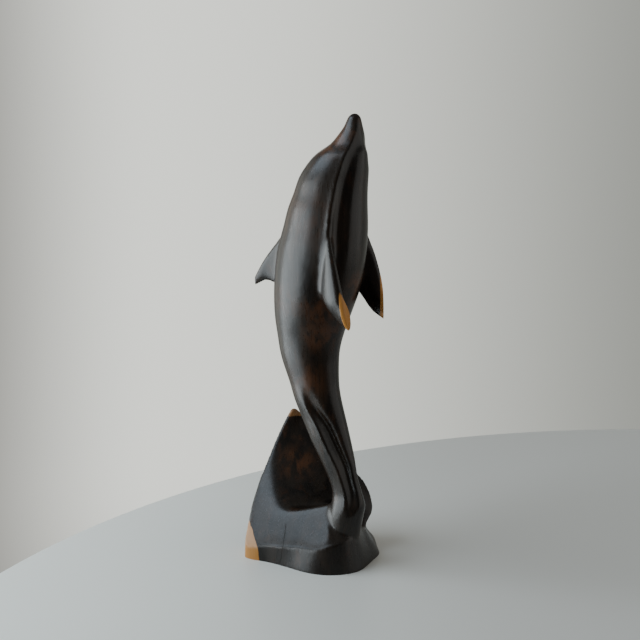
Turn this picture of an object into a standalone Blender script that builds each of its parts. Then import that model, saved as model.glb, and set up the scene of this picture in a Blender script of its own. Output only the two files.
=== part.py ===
"""A leaping dolphin and the curling wave that it rises from, carved as one piece from one round log.

Metres, +Z up. The origin is on the table, on the axis of the log. +X is the way the belly faces, and
-Y is the dolphin's right flank. Free forms are given as shares of HEIGHT or of LOG_RADIUS.
"""

from math import cos, exp, log, pi, radians, sin, sqrt, tau

import bmesh
import bpy
import numpy as np
from mathutils import Vector

# Driving sizes
HEIGHT = 0.300
LOG_RADIUS = 0.0475
WAVE_HEIGHT = 0.094
FLIPPER_THICKNESS = 0.0066
FIN_THICKNESS = 0.0050
RIM_THICKNESS = 0.0026
BEAK_TIP_LENGTH = 0.0035
FOOT_DEPTH = 0.004

# The wave's right-hand end is turned this far from the way the belly faces
BASE_TURN = radians(30)
# The point that the wave is drawn round: from the log's axis, to the right and towards the front
HOLLOW_RIGHT = -0.105
HOLLOW_FRONT = -0.210
# The wave's front and left are planed to one flat face. Its height on the log's axis, its rise to the
# right and its fall to the front, and how it bends up towards the wave's tip
FACE_HEIGHT = 0.1553
FACE_TO_RIGHT = 0.79
FACE_TO_FRONT = 1.245
FACE_BEND = 0.45
FACE_BEND_FROM = -0.63
# Behind the face a hollow is scooped out. Its front lip, which turns back at the left, and the floor's dip
LIP_FRONT = 0.118
LIP_TURN = 0.36
FLOOR_DIP = 0.75
# Its left edge, how that turns with the way back, and how steeply the side falls from it
EDGE_RIGHT = -0.516
EDGE_TURN = 0.293
EDGE_DROP = 0.12
# The wall behind it, by its height over the log's axis
WALL_LEVEL = -0.058
WALL_TO_RIGHT = 0.05
WALL_SLOPE = 2.6
# Where two of these surfaces meet, they flow together over this much
HOLLOW_EASE = 0.018
LIP_EASE = 0.008
RIM_EASE = 0.002

# How far from the log's axis the log's own skin is left on each flipper's tip
NEAR_TIP_REACH = 0.960
FAR_TIP_REACH = 0.962
TIP_BEARING = radians(34)

# Fineness of the carved surface
VOXEL = 0.0008
EVEN_ROUNDS = 3
CORNER_ROUNDS = 120
FACES_KEPT = 9600

# Height, how far forward the middle lies, half depth back to belly, and width against depth
BODY = (
    (0.015, 0.070, 0.0355, 1.00),
    (0.066, 0.0750, 0.0370, 1.00),
    (0.106, 0.081, 0.0383, 1.00),
    (0.125, 0.0845, 0.0390, 0.95),
    (0.144, 0.0880, 0.0393, 0.87),
    (0.162, 0.0873, 0.0363, 0.80),
    (0.180, 0.0830, 0.0350, 0.78),
    (0.198, 0.0763, 0.0355, 0.77),
    (0.233, 0.0637, 0.0402, 0.77),
    (0.267, 0.0503, 0.0453, 0.77),
    (0.302, 0.0367, 0.0493, 0.77),
    (0.337, 0.0237, 0.0523, 0.77),
    (0.372, 0.0107, 0.0553, 0.78),
    (0.408, 0.0013, 0.0577, 0.79),
    (0.443, -0.0060, 0.0632, 0.80),
    (0.479, -0.0110, 0.0688, 0.82),
    (0.515, -0.0100, 0.0750, 0.84),
    (0.551, -0.0060, 0.0833, 0.86),
    (0.588, 0.0003, 0.0908, 0.88),
    (0.624, 0.0073, 0.0963, 0.90),
    (0.660, 0.0127, 0.0990, 0.90),
    (0.695, 0.0180, 0.0993, 0.90),
    (0.730, 0.0240, 0.0967, 0.92),
    (0.765, 0.0300, 0.0923, 0.92),
    (0.800, 0.0347, 0.0870, 0.93),
    (0.834, 0.0420, 0.0803, 0.93),
    (0.868, 0.0500, 0.0748, 0.93),
    (0.885, 0.0563, 0.0697, 0.94),
    (0.902, 0.0628, 0.0625, 0.95),
    (0.919, 0.0722, 0.0530, 0.95),
    (0.9355, 0.0830, 0.0383, 0.95),
    (0.952, 0.0900, 0.0297, 0.95),
    (0.969, 0.0947, 0.0212, 0.95),
    (0.985, 0.0970, 0.0155, 0.95),
    (1.000, 0.0985, 0.0105, 0.95),
)

# Height, how far round from the belly the ridge runs, how proud it is, the hollow on its belly side, and
# how wide it flares on its back side
RIDGE = (
    (0.560, 56, 0.0000, 0.0000, 0.028),
    (0.600, 56, 0.0000, 0.0005, 0.028),
    (0.640, 56, 0.0006, 0.0020, 0.028),
    (0.675, 56, 0.0045, 0.0045, 0.028),
    (0.705, 56, 0.0120, 0.0070, 0.026),
    (0.735, 57, 0.0165, 0.0085, 0.022),
    (0.765, 58, 0.0150, 0.0085, 0.017),
    (0.800, 58, 0.0130, 0.0080, 0.015),
    (0.840, 58, 0.0102, 0.0066, 0.014),
    (0.900, 57, 0.0070, 0.0048, 0.013),
    (0.945, 54, 0.0045, 0.0028, 0.012),
    (0.972, 47, 0.0020, 0.0010, 0.012),
    (1.000, 42, 0.0000, 0.0000, 0.012),
)

# Height, depth of the groove along the tail's side, and its place from the back, -1, to the belly, +1
GROOVE = (
    (0.125, 0.00, 0.57),
    (0.160, 0.38, 0.57),
    (0.202, 0.56, 0.59),
    (0.239, 0.60, 0.56),
    (0.270, 0.56, 0.46),
    (0.326, 0.44, 0.32),
    (0.357, 0.26, 0.16),
    (0.410, 0.00, 0.05),
)

# Leading edge and trailing edge, each as forward, outward and height, then the thickness
FLIPPER = (
    (0.070, 0.066, 0.775, 0.054, 0.040, 0.755, 0.70),
    (0.083, 0.081, 0.748, 0.058, 0.049, 0.715, 0.80),
    (0.093, 0.0880, 0.720, 0.057, 0.059, 0.672, 0.90),
    (0.104, 0.0915, 0.690, 0.059, 0.0700, 0.632, 1.00),
    (0.117, 0.0935, 0.643, 0.074, 0.0790, 0.603, 1.00),
    (0.123, 0.0915, 0.618, 0.099, 0.0775, 0.574, 0.92),
    (0.133, 0.0900, 0.600, 0.118, 0.0780, 0.560, 0.85),
    (0.146, 0.0880, 0.585, 0.136, 0.0800, 0.550, 0.80),
)

# Leading edge and trailing edge of the fin on the back, each as backward and height, then the thickness
FIN = (
    (0.045, 0.772, 0.045, 0.600, 1.80),
    (0.074, 0.744, 0.080, 0.616, 1.45),
    (0.092, 0.722, 0.102, 0.626, 1.15),
    (0.113, 0.697, 0.122, 0.631, 1.00),
    (0.134, 0.669, 0.137, 0.626, 0.85),
    (0.153, 0.638, 0.154, 0.617, 0.60),
)

# Bearing from the right-hand end, towards the front; foot and rim from the middle of the wave, the rim's
# height against the wave's, how far the side is undercut, and how steeply the top rises inwards from it
WAVE = (
    (3, 1.055, 0.850, 0.190, 0.00, 0.80),
    (15, 1.010, 0.835, 0.205, 0.00, 1.20),
    (31, 1.000, 0.860, 0.240, 0.00, 2.00),
    (46, 1.020, 0.925, 0.242, 0.00, 2.60),
    (58, 0.980, 0.912, 0.226, 0.00, 1.10),
    (73, 0.895, 0.825, 0.192, 0.00, 2.00),
    (93, 0.745, 0.658, 0.180, 0.00, 2.10),
    (113, 0.643, 0.598, 0.165, 0.00, 2.20),
    (135, 0.638, 0.626, 0.150, 0.00, 2.00),
    (155, 0.770, 0.760, 0.130, 0.00, 1.80),
    (168, 0.915, 0.908, 0.150, 0.00, 1.50),
    (175, 0.893, 0.882, 0.200, 0.00, 1.35),
    (182, 0.855, 0.846, 0.290, 0.00, 1.20),
    (193, 0.828, 0.813, 0.415, 0.00, 0.90),
    (209, 0.792, 0.764, 0.553, 0.00, 0.50),
    (225, 0.778, 0.743, 0.718, 0.00, 0.15),
    (239, 0.772, 0.733, 0.887, 0.00, 0.10),
    (252, 0.773, 0.748, 1.000, 0.00, 0.10),
    (264, 0.776, 0.756, 0.945, 0.00, 0.10),
    (282, 0.805, 0.780, 0.790, 0.01, 0.15),
    (302, 0.860, 0.830, 0.640, 0.04, 0.15),
    (320, 0.935, 0.905, 0.535, 0.10, 0.20),
    (332, 0.965, 0.958, 0.470, 0.15, 0.25),
    (341, 0.995, 0.990, 0.385, 0.18, 0.35),
    (348, 1.035, 0.990, 0.280, 0.14, 0.45),
    (355, 1.050, 0.890, 0.200, 0.05, 0.50),
)

# Where fin, flippers and tail grow out of what carries them, hollow corners are rounded out:
# forward, outward and height of the middle of each such place, and its reach each way
CORNERS = (
    (0.060, 0.060, 0.660, 0.070, 0.060, 0.110),
    (-0.090, 0.000, 0.680, 0.040, 0.040, 0.090),
    (0.055, 0.020, 0.150, 0.055, 0.070, 0.055),
)


def clear_scene():
    for thing in list(bpy.data.objects):
        bpy.data.objects.remove(thing, do_unlink=True)


def through(rows, at):
    """The rows' values at other places of their first column, on natural cubic splines."""
    table = np.array(rows, float)
    keys, values = table[:, 0], table[:, 1:]
    step = np.diff(keys)
    slope = np.diff(values, axis=0) / step[:, None]
    system = np.eye(len(keys))
    right = np.zeros_like(values)
    for i in range(1, len(keys) - 1):
        system[i, i - 1 : i + 2] = step[i - 1], 2 * (step[i - 1] + step[i]), step[i]
        right[i] = 6 * (slope[i] - slope[i - 1])
    bend = np.linalg.solve(system, right)
    at = np.clip(at, keys[0], keys[-1])
    i = np.clip(np.searchsorted(keys, at) - 1, 0, len(keys) - 2)
    h = step[i][:, None]
    late = ((at - keys[i]) / step[i])[:, None]
    early = 1 - late
    curved = (early**3 - early) * bend[i] + (late**3 - late) * bend[i + 1]
    return early * values[i] + late * values[i + 1] + curved * h**2 / 6


def round_and_round(rows, at):
    """The same for rows that go once round, in degrees."""
    turns = [(row[0] + turn, *row[1:]) for turn in (-360, 0, 360) for row in rows]
    return through(turns, at)


def loft(name, rings):
    """A closed body through rings of as many points each."""
    mesh = bpy.data.meshes.new(name)
    form = bmesh.new()
    made = [[form.verts.new(point) for point in ring] for ring in rings]
    for low, high in zip(made, made[1:]):
        for i in range(len(low)):
            j = (i + 1) % len(low)
            form.faces.new((low[i], low[j], high[j], high[i]))
    form.faces.new(reversed(made[0]))
    form.faces.new(made[-1])
    bmesh.ops.recalc_face_normals(form, faces=form.faces)
    form.to_mesh(mesh)
    form.free()
    body = bpy.data.objects.new(name, mesh)
    bpy.context.scene.collection.objects.link(body)
    return body


def body_of_dolphin(levels=150, around=96):
    """Level sections from inside the base to the tip of the beak, with the ridge and the tail's groove."""
    round_from = HEIGHT - BEAK_TIP_LENGTH
    cap = round_from + BEAK_TIP_LENGTH * np.sin(np.linspace(0, 0.97, 9) * pi / 2)
    heights = np.concatenate([np.linspace(BODY[0][0] * HEIGHT, round_from, levels)[:-1], cap])
    shares = heights / HEIGHT
    forward, depth, ratio = through(BODY, shares).T
    bearing, proud, hollow, flare_width = through(RIDGE, shares).T
    groove_depth, groove_place = through(GROOVE, shares).T
    groove_depth[(shares > GROOVE[-1][0]) | (shares < GROOVE[0][0])] = 0
    proud[shares < RIDGE[0][0]] = 0
    hollow[shares < RIDGE[0][0]] = 0
    turn = np.linspace(0, tau, around, endpoint=False)
    flank = np.minimum(turn, tau - turn)
    rings = []
    for i, height in enumerate(heights):
        past = max(0.0, (height - round_from) / BEAK_TIP_LENGTH)
        half = depth[i] * HEIGHT * sqrt(1 - past**2)
        beside = np.cos(turn) - groove_place[i]
        groove = np.exp(-((beside / np.where(beside > 0, 0.30, 0.19)) ** 2))
        groove = groove_depth[i] * (groove - 0.22 * np.exp(-(((beside + 0.31) / 0.13) ** 2)))
        x = half * np.cos(turn)
        y = half * ratio[i] * np.sin(turn) * (1 - groove)
        aside = (flank - radians(bearing[i])) * half
        crest = 0.6 * np.exp(-np.abs(aside) / (0.006 * HEIGHT))
        flare = 0.4 * np.exp(-np.abs(aside) / (np.where(aside > 0, flare_width[i], 0.007) * HEIGHT))
        lift = proud[i] * HEIGHT * (crest + flare)
        lift -= hollow[i] * HEIGHT * np.exp(-(((aside / HEIGHT + 0.020) / 0.016) ** 2))
        lift *= sqrt(1 - past**2)
        x += lift * np.cos(turn)
        y += lift * np.sin(turn)
        rings.append([(forward[i] * HEIGHT + px, py, height) for px, py in zip(x, y)])
    return loft("body", rings)


def blade(name, leading, trailing, thickness, facing, around=40):
    """A fin or flipper: rounded sections between two edges, thick across the way it faces."""
    rings = []
    for front, back, thick, across in zip(leading, trailing, thickness, facing):
        ring = []
        for i in range(around):
            turn = tau * i / around
            along = (1 - cos(turn)) / 2
            swell = sin(turn) * (1 + 0.25 * cos(turn))
            ring.append(front.lerp(back, along) + across * (thick / 2 * swell))
        rings.append(ring)
    return loft(name, rings)


def flipper(name, side, stations=40):
    """One flipper, side -1 the right and +1 the left."""
    rows = [(i, *row) for i, row in enumerate(FLIPPER)]
    values = through(rows, np.linspace(0, len(rows) - 1, stations))
    leading = [Vector((v[0], side * v[1], v[2])) * HEIGHT for v in values]
    trailing = [Vector((v[3], side * v[4], v[5])) * HEIGHT for v in values]
    spans = [(leading[-1] + trailing[-1] - leading[0] - trailing[0]).normalized()] * stations
    facing = [(b - a).cross(span).normalized() for a, b, span in zip(leading, trailing, spans)]
    return blade(name, leading, trailing, values[:, 6] * FLIPPER_THICKNESS, facing)


def dorsal_fin(stations=30):
    rows = [(i, *row) for i, row in enumerate(FIN)]
    values = through(rows, np.linspace(0, len(rows) - 1, stations))
    leading = [Vector((-v[0], 0, v[1])) * HEIGHT for v in values]
    trailing = [Vector((-v[2], 0, v[3])) * HEIGHT for v in values]
    facing = [Vector((0, 1, 0))] * stations
    return blade("fin", leading, trailing, values[:, 4] * FIN_THICKNESS, facing)


def hollow_place(bearing, radius):
    """How far a place in the wave lies to the right of the log's axis, and in front of it."""
    right = HOLLOW_RIGHT * LOG_RADIUS + radius * cos(bearing)
    front = HOLLOW_FRONT * LOG_RADIUS + radius * sin(bearing)
    return right, front


def base_point(bearing, radius, height):
    """A point of the wave by its bearing and distance from the point that the wave is drawn round."""
    right, front = hollow_place(bearing, radius)
    x = right * cos(BASE_TURN) + front * sin(BASE_TURN)
    y = right * sin(BASE_TURN) - front * cos(BASE_TURN)
    return Vector((x, y, height))


def higher(a, b, ease):
    """The higher of two heights, with a soft passage from one to the other."""
    return max(a, b) + ease * log(1 + exp(-abs(a - b) / ease))


def lower(a, b, ease):
    return -higher(-a, -b, ease)


def face_height(right, front):
    bent = higher(FACE_BEND_FROM * LOG_RADIUS - front, 0, LIP_EASE * HEIGHT)
    return FACE_HEIGHT * HEIGHT + FACE_TO_RIGHT * right - FACE_TO_FRONT * front + FACE_BEND * bent


def scoop_height(right, front):
    """The hollow behind the face: its floor, its left side and the wall at its back."""
    ease = HOLLOW_EASE * HEIGHT
    lip = LIP_FRONT * LOG_RADIUS + LIP_TURN * right
    floor = face_height(right, lip) - FLOOR_DIP * (lip - front)
    edge = EDGE_RIGHT * LOG_RADIUS + EDGE_TURN * front
    side = face_height(edge, front) - EDGE_DROP * (right - edge)
    wall = WALL_LEVEL * HEIGHT + WALL_TO_RIGHT * right - WALL_SLOPE * front
    return higher(higher(floor, side, ease), wall, ease)


def hollow_height(bearing, radius, rim, height, rise):
    """The surface inside the rim: the face with its hollow, under what rises from the rim."""
    right, front = hollow_place(bearing, radius)
    carved = lower(face_height(right, front), scoop_height(right, front), LIP_EASE * HEIGHT)
    return lower(carved, height + rise * (rim - radius), RIM_EASE * HEIGHT)


def wave(bearings=180, up=26, down=34):
    """The wave with its hollow: one profile from foot to rim to hollow, swept round with changing sizes."""
    turns = np.linspace(0, 360, bearings, endpoint=False)
    foot, rim, height, undercut, rise = round_and_round(WAVE, turns).T
    foot = foot * LOG_RADIUS
    rim = rim * LOG_RADIUS
    height = height * WAVE_HEIGHT
    columns = []
    for i, turn in enumerate(turns):
        bearing = radians(turn)
        height[i] = lower(height[i], face_height(*hollow_place(bearing, rim[i])), RIM_EASE * HEIGHT)
        column = [base_point(bearing, foot[i] * 0.3, -FOOT_DEPTH), base_point(bearing, foot[i], -FOOT_DEPTH)]
        for step in range(up):
            part = step / (up - 1)
            z = height[i] * part
            cut = undercut[i] * LOG_RADIUS * np.exp(-(((z - 0.055 * HEIGHT) / (0.022 * HEIGHT)) ** 2))
            column.append(base_point(bearing, foot[i] + (rim[i] - foot[i]) * part - cut, z))
        inner = rim[i] - RIM_THICKNESS * max(0.25, height[i] / WAVE_HEIGHT)
        sizes = inner, height[i], rise[i]
        step_at_rim = height[i] - hollow_height(bearing, inner, *sizes)
        for step in range(down):
            share = (1 - step / down) ** 0.7
            z = hollow_height(bearing, inner * share, *sizes) + step_at_rim * share**12
            column.append(base_point(bearing, inner * share, z))
        columns.append(column)
    rings = [[column[k] for column in columns] for k in range(len(columns[0]))]
    return loft("wave", rings)


def modified(body, kind, **values):
    """The body with one modifier applied to its mesh."""
    modifier = body.modifiers.new(kind.lower(), kind)
    for key, value in values.items():
        setattr(modifier, key, value)
    graph = bpy.context.evaluated_depsgraph_get()
    mesh = bpy.data.meshes.new_from_object(body.evaluated_get(graph))
    body.modifiers.clear()
    old = body.data
    body.data = mesh
    bpy.data.meshes.remove(old)
    return body


def joined(pieces):
    """The pieces' meshes in one, still as separate shells."""
    form = bmesh.new()
    for piece in pieces:
        form.from_mesh(piece.data)
    whole = pieces[0]
    form.to_mesh(whole.data)
    form.free()
    for piece in pieces[1:]:
        bpy.data.objects.remove(piece, do_unlink=True)
    return whole


def cut_flat(body, point, normal, above=-1.0):
    """What lies on the normal's side of a plane, and above a height, is taken off and the cut closed."""
    form = bmesh.new()
    form.from_mesh(body.data)
    faces = [face for face in form.faces if min(corner.co.z for corner in face.verts) > above]
    edges = list({edge for face in faces for edge in face.edges})
    corners = list({corner for face in faces for corner in face.verts})
    done = bmesh.ops.bisect_plane(
        form, geom=corners + edges + faces, dist=1e-7, plane_co=point, plane_no=normal, clear_outer=True
    )
    rim = [edge for edge in done["geom_cut"] if isinstance(edge, bmesh.types.BMEdge)]
    bmesh.ops.holes_fill(form, edges=rim)
    form.to_mesh(body.data)
    form.free()


def weighted(body, name):
    """A vertex group with how far each point lies inside the corners, from 0 to 1."""
    places = np.empty(3 * len(body.data.vertices))
    body.data.vertices.foreach_get("co", places)
    places = places.reshape(-1, 3) / HEIGHT
    places[:, 1] = np.abs(places[:, 1])
    inside = np.zeros(len(places))
    for corner in CORNERS:
        away = np.linalg.norm((places - corner[:3]) / corner[3:], axis=1)
        inside = np.maximum(inside, np.clip(2.5 * (1 - away), 0, 1))
    group = body.vertex_groups.new(name=name)
    for i in np.flatnonzero(inside):
        group.add([int(i)], inside[i], "REPLACE")


def filled_corners(body):
    """A copy smoothed in the corners is fused with the carving: hollow corners fill and edges stay."""
    soft = body.copy()
    soft.data = body.data.copy()
    bpy.context.scene.collection.objects.link(soft)
    weighted(soft, "corners")
    modified(soft, "SMOOTH", factor=0.5, iterations=CORNER_ROUNDS, vertex_group="corners")
    soft.vertex_groups.clear()
    joined([body, soft])
    modified(body, "REMESH", mode="VOXEL", voxel_size=VOXEL)


def flipper_tips(body):
    """Each flipper ends where the log's own skin was."""
    for side, reach in ((-1, NEAR_TIP_REACH), (1, FAR_TIP_REACH)):
        outward = Vector((cos(TIP_BEARING), side * sin(TIP_BEARING), 0))
        cut_flat(body, outward * reach * LOG_RADIUS, outward, above=0.4 * HEIGHT)


def wood():
    material = bpy.data.materials.new("dark_wood")
    material.use_nodes = True
    shader = material.node_tree.nodes["Principled BSDF"]
    shader.inputs["Base Color"].default_value = (0.030, 0.016, 0.011, 1)
    shader.inputs["Roughness"].default_value = 0.28
    shader.inputs["Metallic"].default_value = 0.0
    return material


def main():
    clear_scene()
    pieces = [body_of_dolphin(), flipper("near", -1), flipper("far", 1), dorsal_fin(), wave()]
    carving = joined(pieces)
    carving.name = "carved_dolphin"
    modified(carving, "REMESH", mode="VOXEL", voxel_size=VOXEL)
    filled_corners(carving)
    modified(carving, "SMOOTH", factor=0.5, iterations=EVEN_ROUNDS)
    flipper_tips(carving)
    triangles = sum(len(face.vertices) - 2 for face in carving.data.polygons)
    modified(carving, "DECIMATE", ratio=FACES_KEPT / triangles)
    cut_flat(carving, Vector((0, 0, 0)), Vector((0, 0, -1)))
    carving.data.materials.clear()
    carving.data.materials.append(wood())
    carving.data.shade_smooth()


main()
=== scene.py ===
"""The looks of the carved dolphin: polished dark wood with pale sapwood, on a pale table in window light.

Metres, +Z up. The origin is on the table, on the axis of the log. +X is the way the belly faces, and
-Y is the dolphin's right flank. Free forms are given as shares of HEIGHT or of LOG_RADIUS. The form is
the CAD part's own form, made finer.

"Right" and "front" in the names below are the photo's right and the side towards its viewer, which are
turned from +X and -Y by BASE_TURN.
"""

from math import cos, exp, log, pi, radians, sin, sqrt, tau

import bmesh
import bpy
import numpy as np
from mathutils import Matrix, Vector


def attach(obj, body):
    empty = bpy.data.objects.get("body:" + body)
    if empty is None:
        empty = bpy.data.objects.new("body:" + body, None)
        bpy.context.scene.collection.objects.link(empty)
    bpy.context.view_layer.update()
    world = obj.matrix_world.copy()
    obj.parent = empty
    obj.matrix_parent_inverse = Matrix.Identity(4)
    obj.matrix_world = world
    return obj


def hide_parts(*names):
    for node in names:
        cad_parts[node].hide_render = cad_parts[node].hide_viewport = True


# Driving sizes
HEIGHT = 0.300
LOG_RADIUS = 0.0475
WAVE_HEIGHT = 0.094
FLIPPER_THICKNESS = 0.0066
FIN_THICKNESS = 0.0050
RIM_THICKNESS = 0.0026
BEAK_TIP_LENGTH = 0.0035
FOOT_DEPTH = 0.004

# The photo's right, where the wave's low end lies, is turned this far from the way the belly faces
BASE_TURN = radians(30)
# The point that the wave is drawn round: from the log's axis, to the right and towards the front
HOLLOW_RIGHT = -0.105
HOLLOW_FRONT = -0.210
# The wave's front and left are planed to one flat face. Its height on the log's axis, its rise to the
# right and its fall to the front, and how it bends up towards the wave's tip
FACE_HEIGHT = 0.1553
FACE_TO_RIGHT = 0.79
FACE_TO_FRONT = 1.245
FACE_BEND = 0.45
FACE_BEND_FROM = -0.63
# Behind the face a hollow is scooped out. Its front lip, which turns back at the left, and the floor's dip
LIP_FRONT = 0.118
LIP_TURN = 0.36
FLOOR_DIP = 0.75
# Its left edge, how that turns with the way back, and how steeply the side falls from it
EDGE_RIGHT = -0.516
EDGE_TURN = 0.293
EDGE_DROP = 0.12
# The wall behind it, by its height over the log's axis
WALL_LEVEL = -0.058
WALL_TO_RIGHT = 0.05
WALL_SLOPE = 2.6
# Where two of these surfaces meet, they flow together over this much
HOLLOW_EASE = 0.018
LIP_EASE = 0.008
RIM_EASE = 0.002

# How far from the log's axis the log's own skin is left on each flipper's tip, and which way that faces
NEAR_TIP_REACH = 0.960
FAR_TIP_REACH = 0.962
TIP_BEARING = radians(34)
# The wave ends below this height, and flippers and fin lie above it
ABOVE_WAVE = 0.4 * HEIGHT

# Rings of the beak's rounded tip, and how far round it the last one lies
BEAK_TIP_RINGS = 9
BEAK_TIP_ROUND = 0.97
# The innermost ring of the wave's underside, as a share of the foot
UNDERSIDE_INNER = 0.3
# Corners nearer to a cutting plane than this lie on it
CUT_TOLERANCE = 1e-7

# Fineness of the carved surface
VOXEL = 0.0008
SMOOTHING = 0.5
EVEN_ROUNDS = 3
CORNER_ROUNDS = 120
FACES_KEPT = 190000

# Height, how far forward the middle lies, half depth back to belly, and width against depth
BODY = (
    (0.015, 0.070, 0.0355, 1.00),
    (0.066, 0.0750, 0.0370, 1.00),
    (0.106, 0.081, 0.0383, 1.00),
    (0.125, 0.0845, 0.0390, 0.95),
    (0.144, 0.0880, 0.0393, 0.87),
    (0.162, 0.0873, 0.0363, 0.80),
    (0.180, 0.0830, 0.0350, 0.78),
    (0.198, 0.0763, 0.0355, 0.77),
    (0.233, 0.0637, 0.0402, 0.77),
    (0.267, 0.0503, 0.0453, 0.77),
    (0.302, 0.0367, 0.0493, 0.77),
    (0.337, 0.0237, 0.0523, 0.77),
    (0.372, 0.0107, 0.0553, 0.78),
    (0.408, 0.0013, 0.0577, 0.79),
    (0.443, -0.0060, 0.0632, 0.80),
    (0.479, -0.0110, 0.0688, 0.82),
    (0.515, -0.0100, 0.0750, 0.84),
    (0.551, -0.0060, 0.0833, 0.86),
    (0.588, 0.0003, 0.0908, 0.88),
    (0.624, 0.0073, 0.0963, 0.90),
    (0.660, 0.0127, 0.0990, 0.90),
    (0.695, 0.0180, 0.0993, 0.90),
    (0.730, 0.0240, 0.0967, 0.92),
    (0.765, 0.0300, 0.0923, 0.92),
    (0.800, 0.0347, 0.0870, 0.93),
    (0.834, 0.0420, 0.0803, 0.93),
    (0.868, 0.0500, 0.0748, 0.93),
    (0.885, 0.0563, 0.0697, 0.94),
    (0.902, 0.0628, 0.0625, 0.95),
    (0.919, 0.0722, 0.0530, 0.95),
    (0.9355, 0.0830, 0.0383, 0.95),
    (0.952, 0.0900, 0.0297, 0.95),
    (0.969, 0.0947, 0.0212, 0.95),
    (0.985, 0.0970, 0.0155, 0.95),
    (1.000, 0.0985, 0.0105, 0.95),
)

# Height, how far round from the belly the ridge runs, how proud it is, the hollow on its belly side, and
# how wide it flares on its back side
RIDGE = (
    (0.560, 56, 0.0000, 0.0000, 0.028),
    (0.600, 56, 0.0000, 0.0005, 0.028),
    (0.640, 56, 0.0006, 0.0020, 0.028),
    (0.675, 56, 0.0045, 0.0045, 0.028),
    (0.705, 56, 0.0120, 0.0070, 0.026),
    (0.735, 57, 0.0165, 0.0085, 0.022),
    (0.765, 58, 0.0150, 0.0085, 0.017),
    (0.800, 58, 0.0130, 0.0080, 0.015),
    (0.840, 58, 0.0102, 0.0066, 0.014),
    (0.900, 57, 0.0070, 0.0048, 0.013),
    (0.945, 54, 0.0045, 0.0028, 0.012),
    (0.972, 47, 0.0020, 0.0010, 0.012),
    (1.000, 42, 0.0000, 0.0000, 0.012),
)
# The ridge is a narrow crest on a flare: the crest's share and width, the flare's width on the belly's side,
# and how far towards the belly the hollow beside it lies, and its width
CREST_SHARE = 0.6
CREST_WIDTH = 0.006
FLARE_TO_BELLY = 0.007
RIDGE_HOLLOW_ASIDE = 0.020
RIDGE_HOLLOW_WIDTH = 0.016

# Height, depth of the groove along the tail's side, and its place from the back, -1, to the belly, +1
GROOVE = (
    (0.125, 0.00, 0.57),
    (0.160, 0.38, 0.57),
    (0.202, 0.56, 0.59),
    (0.239, 0.60, 0.56),
    (0.270, 0.56, 0.46),
    (0.326, 0.44, 0.32),
    (0.357, 0.26, 0.16),
    (0.410, 0.00, 0.05),
)
# The groove's widths towards belly and back, and the swell behind it: its share of the depth, place and width
GROOVE_TO_BELLY = 0.30
GROOVE_TO_BACK = 0.19
SWELL_SHARE = 0.22
SWELL_BEHIND = 0.31
SWELL_WIDTH = 0.13

# Leading edge and trailing edge, each as forward, outward and height, then the thickness
FLIPPER = (
    (0.070, 0.066, 0.775, 0.054, 0.040, 0.755, 0.70),
    (0.083, 0.081, 0.748, 0.058, 0.049, 0.715, 0.80),
    (0.093, 0.0880, 0.720, 0.057, 0.059, 0.672, 0.90),
    (0.104, 0.0915, 0.690, 0.059, 0.0700, 0.632, 1.00),
    (0.117, 0.0935, 0.643, 0.074, 0.0790, 0.603, 1.00),
    (0.123, 0.0915, 0.618, 0.099, 0.0775, 0.574, 0.92),
    (0.133, 0.0900, 0.600, 0.118, 0.0780, 0.560, 0.85),
    (0.146, 0.0880, 0.585, 0.136, 0.0800, 0.550, 0.80),
)

# Leading edge and trailing edge of the fin on the back, each as backward and height, then the thickness
FIN = (
    (0.045, 0.772, 0.045, 0.600, 1.80),
    (0.074, 0.744, 0.080, 0.616, 1.45),
    (0.092, 0.722, 0.102, 0.626, 1.15),
    (0.113, 0.697, 0.122, 0.631, 1.00),
    (0.134, 0.669, 0.137, 0.626, 0.85),
    (0.153, 0.638, 0.154, 0.617, 0.60),
)
# How much fuller fin and flippers are near their leading edge
FULLER_AHEAD = 0.25

# Bearing from the right-hand end, towards the front; foot and rim from the middle of the wave, the rim's
# height against the wave's, how far the side is undercut, and how steeply the top rises inwards from it
WAVE = (
    (3, 1.055, 0.850, 0.190, 0.00, 0.80),
    (15, 1.010, 0.835, 0.205, 0.00, 1.20),
    (31, 1.000, 0.860, 0.240, 0.00, 2.00),
    (46, 1.020, 0.925, 0.242, 0.00, 2.60),
    (58, 0.980, 0.912, 0.226, 0.00, 1.10),
    (73, 0.895, 0.825, 0.192, 0.00, 2.00),
    (93, 0.745, 0.658, 0.180, 0.00, 2.10),
    (113, 0.643, 0.598, 0.165, 0.00, 2.20),
    (135, 0.638, 0.626, 0.150, 0.00, 2.00),
    (155, 0.770, 0.760, 0.130, 0.00, 1.80),
    (168, 0.915, 0.908, 0.150, 0.00, 1.50),
    (175, 0.893, 0.882, 0.200, 0.00, 1.35),
    (182, 0.855, 0.846, 0.290, 0.00, 1.20),
    (193, 0.828, 0.813, 0.415, 0.00, 0.90),
    (209, 0.792, 0.764, 0.553, 0.00, 0.50),
    (225, 0.778, 0.743, 0.718, 0.00, 0.15),
    (239, 0.772, 0.733, 0.887, 0.00, 0.10),
    (252, 0.773, 0.748, 1.000, 0.00, 0.10),
    (264, 0.776, 0.756, 0.945, 0.00, 0.10),
    (282, 0.805, 0.780, 0.790, 0.01, 0.15),
    (302, 0.860, 0.830, 0.640, 0.04, 0.15),
    (320, 0.935, 0.905, 0.535, 0.10, 0.20),
    (332, 0.965, 0.958, 0.470, 0.15, 0.25),
    (341, 0.995, 0.990, 0.385, 0.18, 0.35),
    (348, 1.035, 0.990, 0.280, 0.14, 0.45),
    (355, 1.050, 0.890, 0.200, 0.05, 0.50),
)
# The undercut's middle height and its spread
UNDERCUT_HEIGHT = 0.055
UNDERCUT_SPREAD = 0.022
# The rim's least share of its thickness, how the rows inside it draw together, and how a step there fades
LEAST_RIM = 0.25
INWARD_SPACING = 0.7
STEP_FADE = 12

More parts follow.
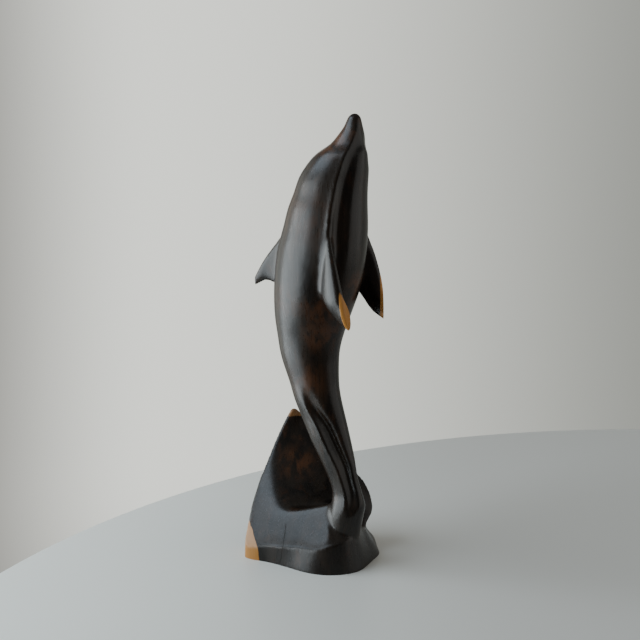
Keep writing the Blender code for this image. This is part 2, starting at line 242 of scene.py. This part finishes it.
# Where fin, flippers and tail grow out of what carries them, hollow corners are rounded out:
# forward, outward and height of the middle of each such place, and its reach each way
CORNERS = (
    (0.060, 0.060, 0.660, 0.070, 0.060, 0.110),
    (-0.090, 0.000, 0.680, 0.040, 0.040, 0.090),
    (0.055, 0.020, 0.150, 0.055, 0.070, 0.055),
)
CORNER_STEEPNESS = 2.5

# Camera: from the log's axis to the right and towards the front, height, downward pitch, focal length and
# sensor width in millimetres
CAMERA_RIGHT = 0.0039
CAMERA_FRONT = 0.745
CAMERA_HEIGHT = 0.305
CAMERA_PITCH = radians(10.6)
CAMERA_LENS = 64.69
CAMERA_SENSOR = 36

# The round table: its middle to the right and towards the front, its radius, how many corners its edge has,
# and where its front ends
TABLE_RIGHT = 0.308
TABLE_FRONT = 0.242
TABLE_RADIUS = 0.559
TABLE_CORNERS = 256
TABLE_END = 0.16
# Its linear colours, which hold painted light: lighter at the left, towards the window, and painted shade
# darker at the right; how far to the right one passes into the other, and its gloss
TABLE_PAINTED_LIT_LEFT = (0.94, 0.95, 0.88, 1)
TABLE_PAINTED_SHADE_RIGHT = (0.61, 0.60, 0.56, 1)
TABLE_PAINTED_LIGHT_FADE = (-0.25, 0.15)
TABLE_ROUGHNESS = 0.4

# Soft lights, aimed at this height: bearing from the viewer's side to the left, elevation, distance, width
# and height, radiance and colour
LIGHT_AIM = 0.13
LIGHTS = {
    "window": (radians(83), radians(-5), 1.2, (1.34, 1.08), 7.2, (0.86, 0.95, 1.0)),
    "ceiling": (radians(79), radians(44), 1.2, (1.00, 0.62), 5.6, (0.72, 0.86, 1.0)),
    "fill": (radians(-78), radians(6), 1.5, (1.70, 1.30), 0.95, (1.0, 0.98, 0.94)),
}

# Linear colours of the room
WALL_AT_LEFT = (1.20, 1.22, 1.13, 1)
WALL_AT_RIGHT = (0.33, 0.34, 0.31, 1)
CORNER = (0.28, 0.27, 0.25, 1)
CEILING = (0.25, 0.25, 0.24, 1)
VIEWERS_SIDE = (0.09, 0.085, 0.078, 1)
BELOW = (0.10, 0.095, 0.085, 1)
# Where one of them passes into the next, by how far a direction leads left, back or up
WALL_BRIGHTENS = (-0.35, 0.15)
CORNER_FROM = (0.14, 0.33)
CORNER_UNTIL = (0.48, 0.60)
WALL_FROM = (-0.5, 0.6)
CEILING_FROM = (0.15, 0.60)
BELOW_UNTIL = (-0.58, -0.30)

# Linear colours of the wood
HEARTWOOD = (0.0110, 0.0070, 0.0042, 1)
DARK_STREAK = (0.0040, 0.0026, 0.0016, 1)
RED_MOTTLE = (0.080, 0.028, 0.009, 1)
SAPWOOD = (0.33, 0.14, 0.022, 1)
# Sapwood with a painted reflection of the window: paler and bluer, for the foot's tilted face above its band
SAPWOOD_AND_SHEEN = (0.36, 0.19, 0.085, 1)
TIP_SAPWOOD = (0.12, 0.050, 0.013, 1)
FLIPPER_SAPWOOD = (0.52, 0.225, 0.042, 1)
PALE_FIBRE = (0.36, 0.20, 0.09, 1)

# Gloss of the wood: specular level, roughness from the smoothest fibres to the roughest, and what sapwood
# and crack add to it
SPECULAR_LEVEL = 0.33
ROUGHNESS = (0.27, 0.35)
SAPWOOD_ROUGHER = 0.14
CRACK_ROUGHER = 0.6
# Relief of the surface, and how strongly grain and the carver's cuts show in it
RELIEF_STRENGTH = 0.6
RELIEF_HEIGHT = 0.0001
GRAIN_SHARE = 0.03
CUTS_SHARE = 2.5

# Noise in the wood: stretch along the log, scale, detail, roughness and distortion
FIBRES = (0.035, 900.0, 4.0, 0.6, 0.0)
STREAKS = (0.08, 130.0, 4.0, 0.55, 0.3)
BLOTCHES = (0.5, 150.0, 6.0, 0.62, 0.4)
GRAIN = (0.06, 800.0, 2.0, 0.5, 0.0)
CUTS = (1.0, 75.0, 1.0, 0.5, 0.0)
SAPWOOD_BOUND = (1.0, 160.0, 3.0, 0.5, 0.0)
CRACK_COURSE = (1.0, 260.0, 3.0, 0.5, 0.0)
# From which noise level to which they show, and how strongly where that isn't in full
FIBRES_ROUGHEN = (0.36, 0.64)
FIBRES_PALER = (0.35, 0.7, 0.0, 0.25)
STREAKS_SHOW = (0.40, 0.62)
BLOTCHES_EVERYWHERE = (0.52, 0.80, 0.0, 0.30)
BLOTCHES_IN_PATCHES = (0.36, 0.62)

# Where the wood is redder: right, front and height of the middle, reach, and how strong
RED_PATCHES = (
    (-0.012, -0.036, 0.055, 0.013, 1.00),
    (-0.014, 0.010, 0.182, 0.011, 0.60),
    (0.006, 0.020, 0.177, 0.012, 0.75),
    (0.006, 0.016, 0.160, 0.013, 0.65),
    (-0.004, 0.014, 0.127, 0.013, 0.45),
    (0.010, 0.018, 0.285, 0.013, 0.80),
    (0.022, 0.020, 0.296, 0.010, 0.60),
    (0.020, 0.010, 0.188, 0.012, 0.80),
    (-0.002, 0.012, 0.235, 0.022, 0.35),
    (0.026, 0.016, 0.192, 0.010, 0.70),
)
# They start and are full at these shares of their reach
PATCH_FADE = (1.5, 0.2)

# Each bound of the sapwood is given by where it starts and where it is full. At the wave's foot it lies this
# far out towards the left, and a little nearer lower down
SAPWOOD_WAY = (-0.952, 0.305, -0.10)
SAPWOOD_FROM = (0.0377, 0.0383)
# At the wave's tip it is a height, and the tip lies behind this
SAPWOOD_TIP = (0.0892, 0.0900)
TIP_FRONT = -0.025
# On the flippers' tips it is a depth under the log's skin, and on the far one's outer edge a way to the right
SKIN_DEPTH = (0.0006, 0.0002)
FAR_EDGE = (0.0434, 0.0438)
# How far foot's and tip's bounds wander, and at which heights the foot's sapwood grows paler and bluer: a
# painted reflection of the window on the tilted face above the band
BOUND_WANDER = 0.0012
FOOT_SHEEN_HEIGHTS = (0.006, 0.012)
# The fine crack: how far to the right it meets the table, how it leans, how high it reaches, how far it
# wanders, and its half width, in full and with its edge
CRACK_RIGHT = -0.0233
CRACK_LEAN = 0.163
CRACK_TOP = 0.026
CRACK_WANDER = 0.0016
CRACK_HALF_WIDTH = (0.0001, 0.0004)


def seen(right, front, height=0.0):
    """A place by how far it lies to the photo's right, towards the viewer, and up."""
    x = right * cos(BASE_TURN) + front * sin(BASE_TURN)
    y = right * sin(BASE_TURN) - front * cos(BASE_TURN)
    return Vector((x, y, height))


def through(rows, at):
    """The rows' values at other places of their first column, on natural cubic splines."""
    table = np.array(rows, float)
    keys, values = table[:, 0], table[:, 1:]
    step = np.diff(keys)
    slope = np.diff(values, axis=0) / step[:, None]
    system = np.eye(len(keys))
    right = np.zeros_like(values)
    for i in range(1, len(keys) - 1):
        system[i, i - 1 : i + 2] = step[i - 1], 2 * (step[i - 1] + step[i]), step[i]
        right[i] = 6 * (slope[i] - slope[i - 1])
    bend = np.linalg.solve(system, right)
    at = np.clip(at, keys[0], keys[-1])
    i = np.clip(np.searchsorted(keys, at) - 1, 0, len(keys) - 2)
    h = step[i][:, None]
    late = ((at - keys[i]) / step[i])[:, None]
    early = 1 - late
    curved = (early**3 - early) * bend[i] + (late**3 - late) * bend[i + 1]
    return early * values[i] + late * values[i + 1] + curved * h**2 / 6


def round_and_round(rows, at):
    """The same for rows that go once round, in degrees."""
    turns = [(row[0] + turn, *row[1:]) for turn in (-360, 0, 360) for row in rows]
    return through(turns, at)


def loft(name, rings):
    """A closed body through rings of as many points each."""
    mesh = bpy.data.meshes.new(name)
    form = bmesh.new()
    made = [[form.verts.new(point) for point in ring] for ring in rings]
    for low, high in zip(made, made[1:]):
        for i in range(len(low)):
            j = (i + 1) % len(low)
            form.faces.new((low[i], low[j], high[j], high[i]))
    form.faces.new(reversed(made[0]))
    form.faces.new(made[-1])
    bmesh.ops.recalc_face_normals(form, faces=form.faces)
    form.to_mesh(mesh)
    form.free()
    body = bpy.data.objects.new(name, mesh)
    bpy.context.scene.collection.objects.link(body)
    return body


def body_of_dolphin(levels=150, around=96):
    """Level sections from inside the base to the tip of the beak, with the ridge and the tail's groove."""
    round_from = HEIGHT - BEAK_TIP_LENGTH
    past_start = np.sin(np.linspace(0, BEAK_TIP_ROUND, BEAK_TIP_RINGS) * pi / 2)
    cap = round_from + BEAK_TIP_LENGTH * past_start
    heights = np.concatenate([np.linspace(BODY[0][0] * HEIGHT, round_from, levels)[:-1], cap])
    shares = heights / HEIGHT
    forward, depth, ratio = through(BODY, shares).T
    bearing, proud, hollow, flare_width = through(RIDGE, shares).T
    groove_depth, groove_place = through(GROOVE, shares).T
    groove_depth[(shares > GROOVE[-1][0]) | (shares < GROOVE[0][0])] = 0
    proud[shares < RIDGE[0][0]] = 0
    hollow[shares < RIDGE[0][0]] = 0
    turn = np.linspace(0, tau, around, endpoint=False)
    flank = np.minimum(turn, tau - turn)
    rings = []
    for i, height in enumerate(heights):
        past = max(0.0, (height - round_from) / BEAK_TIP_LENGTH)
        half = depth[i] * HEIGHT * sqrt(1 - past**2)
        beside = np.cos(turn) - groove_place[i]
        groove = np.exp(-((beside / np.where(beside > 0, GROOVE_TO_BELLY, GROOVE_TO_BACK)) ** 2))
        swell = SWELL_SHARE * np.exp(-(((beside + SWELL_BEHIND) / SWELL_WIDTH) ** 2))
        groove = groove_depth[i] * (groove - swell)
        x = half * np.cos(turn)
        y = half * ratio[i] * np.sin(turn) * (1 - groove)
        aside = (flank - radians(bearing[i])) * half
        crest = CREST_SHARE * np.exp(-np.abs(aside) / (CREST_WIDTH * HEIGHT))
        width = np.where(aside > 0, flare_width[i], FLARE_TO_BELLY)
        flare = (1 - CREST_SHARE) * np.exp(-np.abs(aside) / (width * HEIGHT))
        lift = proud[i] * HEIGHT * (crest + flare)
        past_hollow = (aside / HEIGHT + RIDGE_HOLLOW_ASIDE) / RIDGE_HOLLOW_WIDTH
        lift -= hollow[i] * HEIGHT * np.exp(-(past_hollow**2))
        lift *= sqrt(1 - past**2)
        x += lift * np.cos(turn)
        y += lift * np.sin(turn)
        rings.append([(forward[i] * HEIGHT + px, py, height) for px, py in zip(x, y)])
    return loft("body", rings)


def blade(name, leading, trailing, thickness, facing, around=40):
    """A fin or flipper: rounded sections between two edges, thick across the way it faces."""
    rings = []
    for front, back, thick, painted_light_fade in zip(leading, trailing, thickness, facing):
        ring = []
        for i in range(around):
            turn = tau * i / around
            along = (1 - cos(turn)) / 2
            swell = sin(turn) * (1 + FULLER_AHEAD * cos(turn))
            ring.append(front.lerp(back, along) + painted_light_fade * (thick / 2 * swell))
        rings.append(ring)
    return loft(name, rings)


def flipper(name, side, stations=40):
    """One flipper, side -1 the right and +1 the left."""
    rows = [(i, *row) for i, row in enumerate(FLIPPER)]
    values = through(rows, np.linspace(0, len(rows) - 1, stations))
    leading = [Vector((v[0], side * v[1], v[2])) * HEIGHT for v in values]
    trailing = [Vector((v[3], side * v[4], v[5])) * HEIGHT for v in values]
    spans = [(leading[-1] + trailing[-1] - leading[0] - trailing[0]).normalized()] * stations
    facing = [(b - a).cross(span).normalized() for a, b, span in zip(leading, trailing, spans)]
    return blade(name, leading, trailing, values[:, 6] * FLIPPER_THICKNESS, facing)


def dorsal_fin(stations=30):
    rows = [(i, *row) for i, row in enumerate(FIN)]
    values = through(rows, np.linspace(0, len(rows) - 1, stations))
    leading = [Vector((-v[0], 0, v[1])) * HEIGHT for v in values]
    trailing = [Vector((-v[2], 0, v[3])) * HEIGHT for v in values]
    facing = [Vector((0, 1, 0))] * stations
    return blade("fin", leading, trailing, values[:, 4] * FIN_THICKNESS, facing)


def hollow_place(bearing, radius):
    """How far a place in the wave lies to the right of the log's axis, and in front of it."""
    right = HOLLOW_RIGHT * LOG_RADIUS + radius * cos(bearing)
    front = HOLLOW_FRONT * LOG_RADIUS + radius * sin(bearing)
    return right, front


def base_point(bearing, radius, height):
    """A point of the wave by its bearing and distance from the point that the wave is drawn round."""
    return seen(*hollow_place(bearing, radius), height)


def higher(a, b, ease):
    """The higher of two heights, with a soft passage from one to the other."""
    return max(a, b) + ease * log(1 + exp(-abs(a - b) / ease))


def lower(a, b, ease):
    return -higher(-a, -b, ease)


def face_height(right, front):
    bent = higher(FACE_BEND_FROM * LOG_RADIUS - front, 0, LIP_EASE * HEIGHT)
    return FACE_HEIGHT * HEIGHT + FACE_TO_RIGHT * right - FACE_TO_FRONT * front + FACE_BEND * bent


def scoop_height(right, front):
    """The hollow behind the face: its floor, its left side and the wall at its back."""
    ease = HOLLOW_EASE * HEIGHT
    lip = LIP_FRONT * LOG_RADIUS + LIP_TURN * right
    floor = face_height(right, lip) - FLOOR_DIP * (lip - front)
    edge = EDGE_RIGHT * LOG_RADIUS + EDGE_TURN * front
    side = face_height(edge, front) - EDGE_DROP * (right - edge)
    wall = WALL_LEVEL * HEIGHT + WALL_TO_RIGHT * right - WALL_SLOPE * front
    return higher(higher(floor, side, ease), wall, ease)


def hollow_height(bearing, radius, rim, height, rise):
    """The surface inside the rim: the face with its hollow, under what rises from the rim."""
    right, front = hollow_place(bearing, radius)
    carved = lower(face_height(right, front), scoop_height(right, front), LIP_EASE * HEIGHT)
    return lower(carved, height + rise * (rim - radius), RIM_EASE * HEIGHT)


def wave(bearings=180, up=26, down=34):
    """The wave with its hollow: one profile from foot to rim to hollow, swept round with changing sizes."""
    turns = np.linspace(0, 360, bearings, endpoint=False)
    foot, rim, height, undercut, rise = round_and_round(WAVE, turns).T
    foot = foot * LOG_RADIUS
    rim = rim * LOG_RADIUS
    height = height * WAVE_HEIGHT
    columns = []
    for i, turn in enumerate(turns):
        bearing = radians(turn)
        height[i] = lower(height[i], face_height(*hollow_place(bearing, rim[i])), RIM_EASE * HEIGHT)
        column = [base_point(bearing, foot[i] * share, -FOOT_DEPTH) for share in (UNDERSIDE_INNER, 1)]
        for step in range(up):
            part = step / (up - 1)
            z = height[i] * part
            past = (z - UNDERCUT_HEIGHT * HEIGHT) / (UNDERCUT_SPREAD * HEIGHT)
            cut = undercut[i] * LOG_RADIUS * np.exp(-(past**2))
            column.append(base_point(bearing, foot[i] + (rim[i] - foot[i]) * part - cut, z))
        inner = rim[i] - RIM_THICKNESS * max(LEAST_RIM, height[i] / WAVE_HEIGHT)
        sizes = inner, height[i], rise[i]
        step_at_rim = height[i] - hollow_height(bearing, inner, *sizes)
        for step in range(down):
            share = (1 - step / down) ** INWARD_SPACING
            z = hollow_height(bearing, inner * share, *sizes) + step_at_rim * share**STEP_FADE
            column.append(base_point(bearing, inner * share, z))
        columns.append(column)
    rings = [[column[k] for column in columns] for k in range(len(columns[0]))]
    return loft("wave", rings)


def modified(body, kind, **values):
    """One modifier is applied to the body's mesh."""
    modifier = body.modifiers.new(kind.lower(), kind)
    for key, value in values.items():
        setattr(modifier, key, value)
    graph = bpy.context.evaluated_depsgraph_get()
    mesh = bpy.data.meshes.new_from_object(body.evaluated_get(graph))
    body.modifiers.clear()
    old = body.data
    body.data = mesh
    bpy.data.meshes.remove(old)


def joined(pieces):
    """The pieces' meshes in one, still as separate shells."""
    form = bmesh.new()
    for piece in pieces:
        form.from_mesh(piece.data)
    whole = pieces[0]
    form.to_mesh(whole.data)
    form.free()
    for piece in pieces[1:]:
        bpy.data.objects.remove(piece, do_unlink=True)
    return whole


def cut_flat(body, point, normal, above=-1.0):
    """What lies on the normal's side of a plane, and above a height, is taken off and the cut closed."""
    form = bmesh.new()
    form.from_mesh(body.data)
    faces = [face for face in form.faces if min(corner.co.z for corner in face.verts) > above]
    edges = list({edge for face in faces for edge in face.edges})
    corners = list({corner for face in faces for corner in face.verts})
    parts = corners + edges + faces
    done = bmesh.ops.bisect_plane(
        form, geom=parts, dist=CUT_TOLERANCE, plane_co=point, plane_no=normal, clear_outer=True
    )
    rim = [edge for edge in done["geom_cut"] if isinstance(edge, bmesh.types.BMEdge)]
    bmesh.ops.holes_fill(form, edges=rim)
    form.to_mesh(body.data)
    form.free()


def weighted(body, name):
    """A vertex group with how far each point lies inside the corners, from 0 to 1."""
    places = np.empty(3 * len(body.data.vertices))
    body.data.vertices.foreach_get("co", places)
    places = places.reshape(-1, 3) / HEIGHT
    places[:, 1] = np.abs(places[:, 1])
    inside = np.zeros(len(places))
    for corner in CORNERS:
        away = np.linalg.norm((places - corner[:3]) / corner[3:], axis=1)
        inside = np.maximum(inside, np.clip(CORNER_STEEPNESS * (1 - away), 0, 1))
    group = body.vertex_groups.new(name=name)
    for i in np.flatnonzero(inside):
        group.add([int(i)], inside[i], "REPLACE")


def filled_corners(body):
    """A copy smoothed in the corners is fused with the carving: hollow corners fill and edges stay."""
    soft = body.copy()
    soft.data = body.data.copy()
    bpy.context.scene.collection.objects.link(soft)
    weighted(soft, "corners")
    modified(soft, "SMOOTH", factor=SMOOTHING, iterations=CORNER_ROUNDS, vertex_group="corners")
    soft.vertex_groups.clear()
    joined([body, soft])
    modified(body, "REMESH", mode="VOXEL", voxel_size=VOXEL)


def flipper_tips(body):
    """Each flipper ends where the log's own skin was."""
    for side, reach in ((-1, NEAR_TIP_REACH), (1, FAR_TIP_REACH)):
        outward = Vector((cos(TIP_BEARING), side * sin(TIP_BEARING), 0))
        cut_flat(body, outward * reach * LOG_RADIUS, outward, above=ABOVE_WAVE)


class Tree:
    """A short way to write shader nodes."""

    def __init__(self, material):
        material.use_nodes = True
        self.nodes = material.node_tree.nodes
        self.links = material.node_tree.links

    def add(self, kind, **settings):
        made = self.nodes.new(kind)
        for key, value in settings.items():
            setattr(made, key, value)
        return made

    def feed(self, socket, value):
        if isinstance(value, bpy.types.NodeSocket):
            self.links.new(value, socket)
        else:
            socket.default_value = value

    def math(self, operation, a, b=0.0, c=0.0):
        made = self.add("ShaderNodeMath", operation=operation)
        for socket, value in zip(made.inputs, (a, b, c)):
            self.feed(socket, value)
        return made.outputs[0]

    def dot(self, a, b):
        made = self.add("ShaderNodeVectorMath", operation="DOT_PRODUCT")
        self.feed(made.inputs[0], a)
        self.feed(made.inputs[1], b)
        return made.outputs["Value"]

    def apart(self, a, b):
        made = self.add("ShaderNodeVectorMath", operation="DISTANCE")
        self.feed(made.inputs[0], a)
        self.feed(made.inputs[1], b)
        return made.outputs["Value"]

    def scaled(self, a, factors):
        made = self.add("ShaderNodeVectorMath", operation="MULTIPLY")
        self.feed(made.inputs[0], a)
        self.feed(made.inputs[1], factors)
        return made.outputs[0]

    def ramp(self, value, low, high, bottom=0.0, top=1.0):
        made = self.add("ShaderNodeMapRange", interpolation_type="SMOOTHSTEP")
        for socket, number in zip(made.inputs, (value, low, high, bottom, top)):
            self.feed(socket, number)
        return made.outputs[0]

    def noise(self, place, stretch, scale, detail, roughness, distortion):
        """Noise from 0 to 1, drawn out along the log where stretch is under 1."""
        made = self.add("ShaderNodeTexNoise")
        self.feed(made.inputs["Vector"], self.scaled(place, (1, 1, stretch)))
        made.inputs["Scale"].default_value = scale
        made.inputs["Detail"].default_value = detail
        made.inputs["Roughness"].default_value = roughness
        made.inputs["Distortion"].default_value = distortion
        return made.outputs[0]

    def mix(self, factor, a, b):
        made = self.add("ShaderNodeMix", data_type="RGBA")
        self.feed(made.inputs["Factor"], factor)
        self.feed(made.inputs["A"], a)
        self.feed(made.inputs["B"], b)
        return made.outputs["Result"]


def largest(tree, values):
    top = values[0]
    for value in values[1:]:
        top = tree.math("MAXIMUM", top, value)
    return top


def sapwood_share(tree, place, height):
    """Where the pale outer wood of the log was left: foot, wave's tip and both flippers' tips."""
    low = tree.math("LESS_THAN", height, ABOVE_WAVE)
    high = tree.math("GREATER_THAN", height, ABOVE_WAVE)
    wander = tree.math("MULTIPLY", tree.noise(place, *SAPWOOD_BOUND), BOUND_WANDER)
    outward = tree.math("ADD", tree.dot(place, seen(*SAPWOOD_WAY)), wander)
    foot = tree.ramp(outward, *SAPWOOD_FROM)
    back = tree.math("LESS_THAN", tree.dot(place, seen(0, 1)), TIP_FRONT)
    tip = tree.math("MULTIPLY", tree.ramp(tree.math("ADD", height, wander), *SAPWOOD_TIP), back)
    on_wave = tree.math("MULTIPLY", largest(tree, [foot, tip]), low)
    edges = [tree.ramp(tree.dot(place, seen(1, 0)), *FAR_EDGE)]
    for side, reach in ((-1, NEAR_TIP_REACH), (1, FAR_TIP_REACH)):
        outward = tree.dot(place, Vector((cos(TIP_BEARING), side * sin(TIP_BEARING), 0)))
        starts, full = (reach * LOG_RADIUS - depth for depth in SKIN_DEPTH)
        edges.append(tree.ramp(outward, starts, full))
    on_flippers = tree.math("MULTIPLY", largest(tree, edges), high)
    return tree.math("ADD", on_wave, on_flippers)


def red_share(tree, place):
    """Blotches of redder wood, strongest in a few places."""
    blotches = tree.noise(place, *BLOTCHES)
    everywhere = tree.ramp(blotches, *BLOTCHES_EVERYWHERE)
    zones = []
    for right, front, height, reach, strength in RED_PATCHES:
        away = tree.apart(place, seen(right, front, height))
        starts, full = (reach * share for share in PATCH_FADE)
        zones.append(tree.ramp(away, starts, full, 0.0, strength))
    patches = tree.math("MULTIPLY", largest(tree, zones), tree.ramp(blotches, *BLOTCHES_IN_PATCHES))
    return tree.math("MAXIMUM", everywhere, patches)


def crack_share(tree, place, height):
    """A fine crack that runs down the wave's planed face to its foot."""
    middle = tree.math("MULTIPLY_ADD", height, CRACK_LEAN, CRACK_RIGHT)
    aside = tree.math("SUBTRACT", tree.dot(place, seen(1, 0)), middle)
    wander = tree.math("MULTIPLY_ADD", tree.noise(place, *CRACK_COURSE), CRACK_WANDER, -CRACK_WANDER / 2)
    near = tree.ramp(tree.math("ABSOLUTE", tree.math("ADD", aside, wander)), *CRACK_HALF_WIDTH, 1.0, 0.0)
    low = tree.math("LESS_THAN", height, CRACK_TOP)
    front = tree.math("GREATER_THAN", tree.dot(place, seen(0, 1)), 0.0)
    return tree.math("MULTIPLY", near, tree.math("MULTIPLY", low, front))


def wood_colour(tree, place, height, fibres, sapwood):
    """Dark heartwood with streaks and redder blotches, and sapwood, whose tan differs from place to place and
    is painted paler and bluer on the foot's tilted face as a painted reflection.
    """
    streaks = tree.ramp(tree.noise(place, *STREAKS), *STREAKS_SHOW)
    heart = tree.mix(red_share(tree, place), tree.mix(streaks, DARK_STREAK, HEARTWOOD), RED_MOTTLE)
    # Above the foot's band the sapwood is painted paler and bluer: a painted reflection
    pale = tree.mix(tree.ramp(height, *FOOT_SHEEN_HEIGHTS), SAPWOOD, SAPWOOD_AND_SHEEN)
    pale = tree.mix(tree.math("GREATER_THAN", height, WAVE_HEIGHT / 2), pale, TIP_SAPWOOD)
    pale = tree.mix(tree.math("GREATER_THAN", height, ABOVE_WAVE), pale, FLIPPER_SAPWOOD)
    pale = tree.mix(tree.ramp(fibres, *FIBRES_PALER), pale, PALE_FIBRE)
    return tree.mix(sapwood, heart, pale)


def wood_relief(tree, place):
    """Fine grain and the shallow unevenness of hand-cut wood."""
    grain = tree.math("MULTIPLY", tree.noise(place, *GRAIN), GRAIN_SHARE)
    cuts = tree.math("MULTIPLY", tree.noise(place, *CUTS), CUTS_SHARE)
    bump = tree.add("ShaderNodeBump")
    bump.inputs["Strength"].default_value = RELIEF_STRENGTH
    bump.inputs["Distance"].default_value = RELIEF_HEIGHT
    tree.links.new(tree.math("ADD", grain, cuts), bump.inputs["Height"])
    return bump.outputs[0]


def polished_wood():
    material = bpy.data.materials.new("polished_dark_wood")
    tree = Tree(material)
    shader = tree.nodes["Principled BSDF"]
    shader.inputs["Specular IOR Level"].default_value = SPECULAR_LEVEL
    place = tree.add("ShaderNodeTexCoord").outputs["Object"]
    height = tree.dot(place, (0, 0, 1))
    fibres = tree.noise(place, *FIBRES)
    sapwood = sapwood_share(tree, place, height)
    crack = crack_share(tree, place, height)
    rough = tree.ramp(fibres, *FIBRES_ROUGHEN, *ROUGHNESS)
    rough = tree.math("ADD", rough, tree.math("MULTIPLY", sapwood, SAPWOOD_ROUGHER))
    rough = tree.math("ADD", rough, tree.math("MULTIPLY", crack, CRACK_ROUGHER))
    tree.links.new(wood_colour(tree, place, height, fibres, sapwood), shader.inputs["Base Color"])
    tree.links.new(rough, shader.inputs["Roughness"])
    tree.links.new(wood_relief(tree, place), shader.inputs["Normal"])
    return material


def polished_dolphin():
    """The whole carving, with the same forms as the CAD part and a finer surface."""
    pieces = [body_of_dolphin(), flipper("near", -1), flipper("far", 1), dorsal_fin(), wave()]
    carving = joined(pieces)
    carving.name = "polished_dolphin"
    modified(carving, "REMESH", mode="VOXEL", voxel_size=VOXEL)
    filled_corners(carving)
    modified(carving, "SMOOTH", factor=SMOOTHING, iterations=EVEN_ROUNDS)
    flipper_tips(carving)
    triangles = sum(len(face.vertices) - 2 for face in carving.data.polygons)
    modified(carving, "DECIMATE", ratio=FACES_KEPT / triangles)
    cut_flat(carving, Vector((0, 0, 0)), Vector((0, 0, -1)))
    carving.data.materials.clear()
    carving.data.materials.append(polished_wood())
    carving.data.shade_smooth()
    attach(carving, "root")
    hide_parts("carved_dolphin")


def table():
    """A pale round table top, whose part nearer to the viewer than the photo shows is left out."""
    middle = seen(TABLE_RIGHT, TABLE_FRONT)
    bpy.ops.mesh.primitive_circle_add(
        radius=TABLE_RADIUS, vertices=TABLE_CORNERS, fill_type="NGON", location=middle
    )
    top = bpy.context.object
    top.name = "table_top"
    cut_flat(top, seen(0, TABLE_END) - middle, seen(0, 1))
    material = bpy.data.materials.new("white_table")
    tree = Tree(material)
    shader = tree.nodes["Principled BSDF"]
    # Painted light: the top's colour fades from lit at the left, towards the window, to painted shade at the
    # right
    right = tree.dot(tree.add("ShaderNodeTexCoord").outputs["Object"], seen(1, 0))
    painted_light_fade = tree.ramp(right, *(way - TABLE_RIGHT for way in TABLE_PAINTED_LIGHT_FADE))
    tree.links.new(tree.mix(painted_light_fade, TABLE_PAINTED_LIT_LEFT, TABLE_PAINTED_SHADE_RIGHT), shader.inputs["Base Color"])
    shader.inputs["Roughness"].default_value = TABLE_ROUGHNESS
    top.data.materials.append(material)


def area_light(name, left, elevation, distance, size, radiance, colour):
    """A soft rectangle of light, by its bearing from the viewer's side towards the photo's left."""
    aim = Vector((0, 0, LIGHT_AIM))
    away = seen(-sin(left) * cos(elevation), cos(left) * cos(elevation), sin(elevation))
    lamp = bpy.data.lights.new(name, "AREA")
    lamp.shape = "RECTANGLE"
    lamp.size, lamp.size_y = size
    lamp.energy = radiance * pi * size[0] * size[1]
    lamp.color = colour
    light = bpy.data.objects.new(name, lamp)
    light.location = aim + away * distance
    light.rotation_euler = (-away).to_track_quat("-Z", "Y").to_euler()
    bpy.context.scene.collection.objects.link(light)


def room():
    """The pale room: a wall behind, bright at the left, and little light from the viewer's side or below."""
    world = bpy.data.worlds.new("room")
    bpy.context.scene.world = world
    tree = Tree(world)
    way = tree.add("ShaderNodeTexCoord").outputs["Generated"]
    left = tree.dot(way, seen(-1, 0))
    back = tree.dot(way, seen(0, -1))
    up = tree.dot(way, (0, 0, 1))
    wall = tree.mix(tree.ramp(left, *WALL_BRIGHTENS), WALL_AT_RIGHT, WALL_AT_LEFT)
    wall = tree.mix(tree.ramp(left, *CORNER_FROM), wall, CORNER)
    wall = tree.mix(tree.ramp(left, *CORNER_UNTIL), wall, WALL_AT_LEFT)
    around = tree.mix(tree.ramp(back, *WALL_FROM), VIEWERS_SIDE, wall)
    around = tree.mix(tree.ramp(up, *CEILING_FROM), around, CEILING)
    around = tree.mix(tree.ramp(up, *BELOW_UNTIL), BELOW, around)
    tree.links.new(around, tree.nodes["Background"].inputs["Color"])


def camera():
    data = bpy.data.cameras.new("camera")
    data.lens = CAMERA_LENS
    data.sensor_width = CAMERA_SENSOR
    eye = bpy.data.objects.new("camera", data)
    eye.location = seen(CAMERA_RIGHT, CAMERA_FRONT, CAMERA_HEIGHT)
    eye.rotation_euler = (pi / 2 - CAMERA_PITCH, 0, BASE_TURN)
    bpy.context.scene.collection.objects.link(eye)
    bpy.context.scene.camera = eye


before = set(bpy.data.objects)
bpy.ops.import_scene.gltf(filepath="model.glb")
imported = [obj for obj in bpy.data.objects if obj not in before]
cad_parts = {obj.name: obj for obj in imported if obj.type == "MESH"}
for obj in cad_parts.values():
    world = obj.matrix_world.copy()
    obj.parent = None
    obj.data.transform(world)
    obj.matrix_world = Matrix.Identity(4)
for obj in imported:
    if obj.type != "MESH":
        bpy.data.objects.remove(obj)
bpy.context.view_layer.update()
polished_dolphin()
table()
for name, light in LIGHTS.items():
    area_light(name, *light)
room()
camera()
